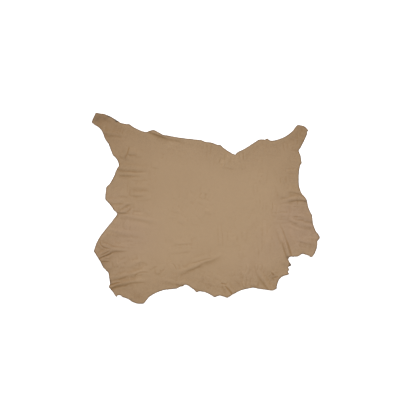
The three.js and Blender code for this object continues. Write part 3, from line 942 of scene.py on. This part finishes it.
def border_of(faces):
    """The corners round the outside of a patch of faces, in order, with the patch on the left."""
    sides = set()
    for face in faces:
        for start, end in zip(face, (*face[1:], face[0]), strict=True):
            if (end, start) in sides:
                sides.remove((end, start))
            else:
                sides.add((start, end))
    after = dict(sides)
    if len(after) != len(sides):
        raise RuntimeError("the sheet touches itself at a corner of its cut edge")
    loop = [min(after)]
    while after[loop[-1]] != loop[0]:
        loop.append(after[loop[-1]])
    if len(loop) != len(after):
        raise RuntimeError("the sheet has a hole or is in two parts")
    return loop


def outwards(loop):
    """The way straight out of an anticlockwise loop at each of its corners."""
    run = np.roll(loop, -1, 0) - np.roll(loop, 1, 0)
    return np.stack([run[:, 1], -run[:, 0]], 1) / np.linalg.norm(run, axis=1)[:, None]


def cad_edge(cad):
    """The cut edge of the CAD sheet's grain side, seen from above and anticlockwise."""
    mesh = bmesh.new()
    mesh.from_mesh(cad.data)
    bmesh.ops.remove_doubles(mesh, verts=mesh.verts, dist=WELD_WITHIN)
    mesh.normal_update()
    mesh.verts.index_update()
    mesh.verts.ensure_lookup_table()
    grain = [[v.index for v in face.verts] for face in mesh.faces if face.normal.z > UPWARDS]
    edge = np.array([mesh.verts[index].co[:2] for index in border_of(grain)])
    mesh.free()
    return edge


def evenly(loop, step):
    """A closed line with its corners about one step apart."""
    closed = np.vstack([loop, loop[:1]])
    along = np.concatenate([[0], np.cumsum(np.linalg.norm(np.diff(closed, axis=0), axis=1))])
    places = np.linspace(0, along[-1], round(along[-1] / step), endpoint=False)
    return np.stack([np.interp(places, along, closed[:, axis]) for axis in (0, 1)], 1)


def knife_cut(loop, settings):
    """The cut edge as a knife leaves it: its corners eased, then a little ragged, with the nicks."""
    edge = evenly(loop, settings.fine_step)
    edge = (np.roll(edge, 1, 0) + 2 * edge + np.roll(edge, -1, 0)) / 4
    x, y = edge.T
    out = settings.raggedness * (humps("hand", x, y) + humps("blade", x, y))
    for nick in NICKS:
        away = np.linalg.norm(edge - np.array([nick.x, nick.y]) * MM, axis=1)
        out -= nick.depth * MM * np.exp(-((away / (nick.width * MM / 2)) ** 2))
    return edge + out[:, None] * outwards(edge)


def corners_inside(relief, settings):
    """Corners of an even staggered grid: all of them where the sheet is creased, or else a quarter."""
    step = settings.fine_step
    rise = step * math.sin(math.pi / 3)
    busy = blurred(relief.bend, FINE_REACH) > FINE_BEND
    fine = (busy | (relief.border < FINE_BORDER)).astype(float)
    rows = int((relief.y[-2] - relief.y[0]) / rise)
    columns = int((relief.x[-2] - relief.x[0]) / step) - 1
    row, column = np.mgrid[0:rows, 0:columns]
    east = relief.x[0] + (column + (row % 2) / 2) * step
    north = relief.y[0] + row * rise
    spots = np.stack([east, north], 2).reshape(-1, 2)
    coarse = ((row % 2 == 0) & ((column + row // 2) % 2 == 0)).ravel()
    wanted = coarse | (relief.at(fine, spots) > MOSTLY)
    clear = relief.at(relief.border, spots) > EDGE_GAP * step
    on_hide = relief.at(relief.on_hide.astype(float), spots) > MOSTLY
    return spots[wanted & clear & on_hide]


def joined(edge, inner):
    """Corners and triangles of the sheet, seen from above, with every triangle anticlockwise."""
    corners = [Vector(spot) for spot in (*edge, *inner)]
    ring = [list(range(len(edge)))]
    places, _, faces, *_ = delaunay_2d_cdt(corners, [], ring, INSIDE_ONLY, MERGE_WITHIN)
    used = sorted({corner for face in faces for corner in face})
    number = {corner: index for index, corner in enumerate(used)}
    spots = np.array([places[corner] for corner in used])
    return spots, [[number[corner] for corner in face] for face in faces]


def closed_sheet(spots, faces, relief, thickness, thinning):
    """The sheet's corners and faces: its grain side, its flesh side, and the cut between the two."""
    thinned = thinning * (1 - ramp(relief.at(relief.border, spots) / THIN_BORDER))
    half = thickness * (1 - thinned) / 2
    slope_x, slope_y = relief.at(relief.slope_x, spots), relief.at(relief.slope_y, spots)
    normal = np.stack([-slope_x, -slope_y, np.ones(len(spots))], 1)
    normal /= np.linalg.norm(normal, axis=1)[:, None]
    middle = np.column_stack([spots, relief.at(relief.height, spots) + half])
    grain = middle + normal * half[:, None]
    flesh = middle - normal * half[:, None]
    ring = border_of(faces)
    cut = middle[ring]
    cut[:, :2] += RIM_BULGE * outwards(spots[ring])
    below, side = len(spots), 2 * len(spots)
    flesh_faces = [[corner + below for corner in reversed(face)] for face in faces]
    cut_faces = []
    for index, corner in enumerate(ring):
        after = (index + 1) % len(ring)
        next_corner = ring[after]
        cut_faces.append([corner, side + index, side + after, next_corner])
        cut_faces.append([side + index, corner + below, next_corner + below, side + after])
    return np.vstack([grain, flesh, cut]), [faces, flesh_faces, cut_faces], ring


def hide_mesh(spots, faces, relief, thickness, thinning):
    """The hide's mesh, with a material for each side, and what the materials read from it."""
    places, sides, ring = closed_sheet(spots, faces, relief, thickness, thinning)
    mesh = bpy.data.meshes.new("lambskin_sheet")
    mesh.from_pydata(places.tolist(), [], [face for side in sides for face in side])
    wearing = np.repeat([0, 1, 2], [len(side) for side in sides])
    mesh.polygons.foreach_set("material_index", wearing)
    mesh.polygons.foreach_set("use_smooth", np.ones(len(wearing), bool))
    spots_of_all = np.vstack([spots, spots, spots[ring]])
    for name in MEASURES:
        values = relief.at(getattr(relief, name), spots_of_all)
        held = mesh.attributes.new(name, "FLOAT", "POINT")
        held.data.foreach_set("value", values.astype(np.float32))
    mesh.update()
    return mesh


# ---------------------------------------------------------------- finishes


class Reading:
    """A number, colour or vector that changes over a surface. Arithmetic on it adds Math nodes."""

    def __init__(self, finish, socket):
        self.finish = finish
        self.socket = socket

    def _math(self, operation, first, second):
        return self.finish.node("ShaderNodeMath", {"operation": operation}, {0: first, 1: second})

    def __add__(self, other):
        return self._math("ADD", self, other)

    def __radd__(self, other):
        return self._math("ADD", other, self)

    def __sub__(self, other):
        return self._math("SUBTRACT", self, other)

    def __rsub__(self, other):
        return self._math("SUBTRACT", other, self)

    def __mul__(self, other):
        return self._math("MULTIPLY", self, other)

    def __rmul__(self, other):
        return self._math("MULTIPLY", other, self)


class Finish:
    """One material, built up node by node round a Principled shader."""

    def __init__(self, name):
        self.material = bpy.data.materials.new(name)
        self.material.use_nodes = True
        self.tree = self.material.node_tree
        self.tree.nodes.clear()

    def node(self, kind, settings, sockets, output=0):
        """Adds a node of that kind, with its settings first and then its sockets' values or links."""
        node = self.tree.nodes.new(kind)
        for name, value in settings.items():
            setattr(node, name, value)
        for key, value in sockets.items():
            if isinstance(value, Reading):
                self.tree.links.new(value.socket, node.inputs[key])
            else:
                node.inputs[key].default_value = value
        return Reading(self, node.outputs[output]) if node.outputs else None

    def place(self):
        """Where a point of the surface is, in metres."""
        return self.node("ShaderNodeTexCoord", {}, {}, "Object")

    def measured(self, name):
        """A measure that the mesh holds for each corner."""
        return self.node("ShaderNodeAttribute", {"attribute_name": name}, {}, "Fac")

    def noise(self, place, width, detail=2.0, roughness=0.5, output="Fac"):
        """Cloudy noise from 0 to 1, with clouds about as wide as width."""
        sockets = {"Vector": place, "Scale": 1 / width, "Detail": detail, "Roughness": roughness}
        return self.node("ShaderNodeTexNoise", {}, sockets, output)

    def between(self, value, low, high):
        """Goes smoothly from 0 to 1 as the value goes from low to high."""
        sockets = {"Value": value, "From Min": low, "From Max": high}
        return self.node("ShaderNodeMapRange", {"interpolation_type": "SMOOTHSTEP"}, sockets)

    def above_zero(self, value):
        """The value, or 0 where it is less."""
        return self.node("ShaderNodeMath", {"operation": "MAXIMUM"}, {0: value, 1: 0.0})

    def apart(self, value, other):
        """How far apart two values are."""
        return self.node("ShaderNodeMath", {"operation": "ABSOLUTE"}, {0: value - other})

    def mixed(self, factor, first, second):
        """One colour over another, by factor."""
        sockets = {0: factor, COLOUR_A: opaque(first), COLOUR_B: opaque(second)}
        return self.node("ShaderNodeMix", {"data_type": "RGBA"}, sockets, MIXED_COLOUR)

    def vector(self, operation, sockets):
        """Vector Math on vectors or colours."""
        return self.node("ShaderNodeVectorMath", {"operation": operation}, sockets)

    def shaded(self, colour, by):
        """A colour made lighter or darker by a number."""
        return self.vector("SCALE", {0: colour, "Scale": by})

    def bumped(self, height, depth):
        """The surface's normal with a relief of that depth."""
        return self.node("ShaderNodeBump", {}, {"Height": height, "Strength": 1.0, "Distance": depth})

    def done(self, sockets):
        """Ends the material in a Principled shader with these sockets."""
        shader = self.node("ShaderNodeBsdfPrincipled", {}, sockets)
        self.node("ShaderNodeOutputMaterial", {}, {"Surface": shader})
        return self.material


def opaque(colour):
    """A colour with full alpha, unless it changes over the surface."""
    return colour if isinstance(colour, Reading) else (*colour, 1.0)


def grain_side(leather):
    """Smooth, softly shining grain leather: fine pebbles, a cloudy dye, darker shanks and edges,
    painted shade in the creases and painted light along some ridges.

    In its sums, each number is the weight of what it multiplies.
    """
    finish = Finish("lambskin_grain_side")
    place = finish.place()
    size = leather.grain_size
    border = finish.measured("border")
    local_rise = finish.measured("local_rise")
    # The painted shade along the ridges' valleys, and painted light on the crests where it is below 0.
    gathered = finish.measured("gathered")

    # Pebbles: cells with soft lines between them, pushed about so that no two are alike.
    sway = finish.noise(place, width=3.5 * size, output="Color")
    swayed = finish.vector("MULTIPLY_ADD", {0: sway, 1: (size, size, size), 2: place})
    cells = finish.node("ShaderNodeTexVoronoi", {"feature": "DISTANCE_TO_EDGE"},
                        {"Vector": swayed, "Scale": 1 / size})
    pebbles = finish.between(cells, low=0.0, high=0.32)
    creping = finish.noise(place, width=6 * size, detail=3.0)
    fuzz = finish.noise(place, width=0.35 * size)

    # Break lines: fine lines in the loose skin near the cut edge, where a noise crosses its middle.
    off_middle = finish.apart(finish.noise(place, width=9 * MM, detail=3.0), 0.5)
    loose = 1 - finish.between(border, low=0.0, high=LOOSE_BORDER)
    break_lines = (1 - finish.between(off_middle, low=0.0, high=0.06)) * loose

    # Colour: a cloudy dye, greyer at the belly, darker at the shanks and beside the cut edge. Painted
    # shade darkens the creases, painted light pales some ridges, and the crests grey and dim a little.
    clouds = finish.noise(place, width=110 * MM, detail=3.0)
    mottling = finish.noise(place, width=16 * MM, detail=4.0, roughness=0.6)
    streaks = finish.noise(place, width=24 * MM, detail=3.0)
    # Painted light: paler along the ridges whose share is below 0.
    pale = finish.above_zero(0.0 - gathered)
    # The crests grey and darken a little: part rubbed wear, part painted shade that dims their light.
    rubbed_and_dimmed = RUBBED_AND_DIMMED * finish.above_zero(local_rise)
    # Painted shade: the troughs, and the valleys along the ridges, darken towards the crease shade's
    # colour.
    trough_shade = TROUGH_SHADE * finish.above_zero(0.0 - local_rise) + gathered
    # Nearly black patches, mottled, as far as the blotches' share dark reaches.
    blackened = (3.0 * mottling - 0.5) * finish.measured("dark")
    beside_cut = 1 - finish.between(border + LINE_STRAY * (mottling - 0.5), *LINE_BESIDE_CUT)
    tone = 0.92 + 0.1 * mottling + 0.04 * pebbles - 0.12 * break_lines + pale
    greyed = finish.mixed(finish.measured("grey") + rubbed_and_dimmed, leather.grain_colour, leather.belly_colour)
    dyed = finish.mixed(finish.measured("brown") + 0.15 * (clouds - 0.5), greyed, leather.shank_colour)
    toned = finish.shaded(dyed, tone)
    edged = finish.mixed((2.2 * streaks - 0.2) * beside_cut, toned, leather.edge_colour)
    # Here the painted shade of the troughs goes over the dye.
    creased = finish.mixed(trough_shade, edged, leather.crease_shade_colour)

    height = 0.55 * pebbles + 0.3 * creping + 0.15 * fuzz - break_lines
    return finish.done({
        "Base Color": finish.mixed(blackened, creased, leather.blackish_colour),
        "Roughness": leather.roughness + 0.1 * (mottling - 0.5) - 0.04 * local_rise,
        "Specular IOR Level": 0.35,
        "Normal": finish.bumped(height, leather.grain_depth),
    })


def flesh_side(leather):
    """The suede underside: paler, matt and fibrous."""
    finish = Finish("lambskin_flesh_side")
    place = finish.place()
    stretched = finish.vector("MULTIPLY", {0: place, 1: (1.0, 2.2, 1.0)})
    nap = finish.noise(stretched, width=1.6 * MM, detail=4.0, roughness=0.7)
    clouds = finish.noise(place, width=60 * MM, detail=3.0)
    return finish.done({
        "Base Color": finish.shaded(leather.flesh_colour, 0.82 + 0.18 * clouds + 0.2 * nap),
        "Roughness": 0.95,
        "Specular IOR Level": 0.1,
        "Sheen Weight": 0.25,
        "Normal": finish.bumped(nap, depth=0.25 * MM),
    })


def raw_cut(leather):
    """The knife's cut through the hide, where loose fibres show."""
    finish = Finish("lambskin_raw_cut")
    place = finish.place()
    fibres = finish.noise(place, width=0.6 * MM, detail=3.0, roughness=0.7)
    blotches = finish.noise(place, width=12 * MM)
    return finish.done({
        "Base Color": finish.shaded(leather.edge_colour, 0.8 + 0.7 * fibres + 0.5 * blotches),
        "Roughness": 0.9,
        "Specular IOR Level": 0.15,
        "Normal": finish.bumped(fibres, depth=0.15 * MM),
    })


def studio_floor_finish(stage):
    """Plain matt paper."""
    return Finish("studio_floor").done({
        "Base Color": opaque(stage.floor_colour),
        "Roughness": 1.0,
        "Specular IOR Level": 0.0,
        "Emission Color": opaque(stage.floor_colour),
        "Emission Strength": stage.floor_glow,
    })


# ---------------------------------------------------------------- operators


class MESH_OT_add_lambskin_hide(bpy.types.Operator):
    """Builds the lambskin hide on the folds of the CAD hide, which it replaces"""

    bl_idname = "mesh.add_lambskin_hide"
    bl_label = "Add Lambskin Hide"

    def execute(self, context):
        settings = context.scene.lambskin_hide
        leather = context.scene.lambskin_leather
        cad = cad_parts[CAD_NODE]
        # Where the CAD sheet lies on the floor, its grain side is as high as the leather is thick.
        thickness = min(v.co.z for v in cad.data.vertices if v.normal.z > UPWARDS)
        edge = knife_cut(cad_edge(cad), settings)
        relief = Relief(cad, edge, settings)
        spots, faces = joined(edge, corners_inside(relief, settings))
        mesh = hide_mesh(spots, faces, relief, thickness, settings.thinning)
        for finish in (grain_side(leather), flesh_side(leather), raw_cut(leather)):
            mesh.materials.append(finish)
        hide = bpy.data.objects.new("lambskin_leather", mesh)
        context.scene.collection.objects.link(hide)
        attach(hide, "root")
        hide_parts(CAD_NODE)
        return {"FINISHED"}


def add_floor(scene):
    """A wide pale floor, just under the hide."""
    mesh = bpy.data.meshes.new("studio_floor")
    sides = ((-1, -1), (1, -1), (1, 1), (-1, 1))
    corners = [(x * FLOOR_HALF, y * FLOOR_HALF, FLOOR_LEVEL) for x, y in sides]
    mesh.from_pydata(corners, [], [(0, 1, 2, 3)])
    mesh.materials.append(studio_floor_finish(scene.lambskin_stage))
    floor = bpy.data.objects.new("studio_floor", mesh)
    scene.collection.objects.link(floor)


def add_overhead(scene):
    """A broad soft light straight above, which the camera looks past."""
    light = bpy.data.lights.new("overhead", "AREA")
    light.shape = "RECTANGLE"
    light.size, light.size_y = OVERHEAD_SIZE
    light.energy = scene.lambskin_stage.overhead_power
    lamp = bpy.data.objects.new("overhead", light)
    lamp.location = (0, 0, OVERHEAD_HEIGHT)
    lamp.visible_camera = False
    scene.collection.objects.link(lamp)


def add_window(scene):
    """Soft even light that falls slantwise from beyond the hide's top edge."""
    light = bpy.data.lights.new("window", "SUN")
    light.energy = scene.lambskin_stage.window_strength
    light.angle = WINDOW_SPREAD
    lamp = bpy.data.objects.new("window", light)
    lamp.rotation_euler = (scene.lambskin_stage.window_height - math.radians(90), 0, 0)
    scene.collection.objects.link(lamp)


def add_air(scene):
    """Faint white light from all round."""
    world = bpy.data.worlds.new("studio_air")
    world.use_nodes = True
    air = world.node_tree.nodes["Background"]
    air.inputs["Color"].default_value = (1, 1, 1, 1)
    air.inputs["Strength"].default_value = scene.lambskin_stage.ambience
    scene.world = world


def add_camera(scene):
    """A camera that looks straight down."""
    stage = scene.lambskin_stage
    camera = bpy.data.cameras.new("camera")
    camera.lens = camera.sensor_width * stage.camera_height / stage.picture_width
    viewer = bpy.data.objects.new("camera", camera)
    viewer.location = (*CAMERA_SPOT, stage.camera_height)
    scene.collection.objects.link(viewer)
    scene.camera = viewer
    scene.view_settings.view_transform = "Standard"


class SCENE_OT_set_lambskin_stage(bpy.types.Operator):
    """Lays a pale floor and sets up soft studio lights and a camera straight above"""

    bl_idname = "scene.set_lambskin_stage"
    bl_label = "Set Studio Stage"

    def execute(self, context):
        for add in (add_floor, add_overhead, add_window, add_air, add_camera):
            add(context.scene)
        return {"FINISHED"}


SETTINGS = {
    "lambskin_hide": HideSettings,
    "lambskin_leather": LeatherSettings,
    "lambskin_stage": StageSettings,
}


class VIEW3D_PT_lambskin(bpy.types.Panel):
    """Sizes, colours and the steps that build the hide"""

    bl_label = "Lambskin Hide"
    bl_space_type = "VIEW_3D"
    bl_region_type = "UI"
    bl_category = "Lambskin"

    def draw(self, context):
        for group in SETTINGS:
            settings = getattr(context.scene, group)
            box = self.layout.box()
            for name in settings.__annotations__:
                box.prop(settings, name)
        self.layout.operator(SCENE_OT_set_lambskin_stage.bl_idname)
        self.layout.operator(MESH_OT_add_lambskin_hide.bl_idname)


CLASSES = (
    *SETTINGS.values(),
    MESH_OT_add_lambskin_hide,
    SCENE_OT_set_lambskin_stage,
    VIEW3D_PT_lambskin,
)


def register():
    for made in CLASSES:
        bpy.utils.register_class(made)
    for name, group in SETTINGS.items():
        setattr(bpy.types.Scene, name, PointerProperty(type=group))


def unregister():
    for name in SETTINGS:
        delattr(bpy.types.Scene, name)
    for made in reversed(CLASSES):
        bpy.utils.unregister_class(made)


def main():
    register()
    bpy.ops.scene.set_lambskin_stage()
    bpy.ops.mesh.add_lambskin_hide()


if __name__ == "__main__":
    main()
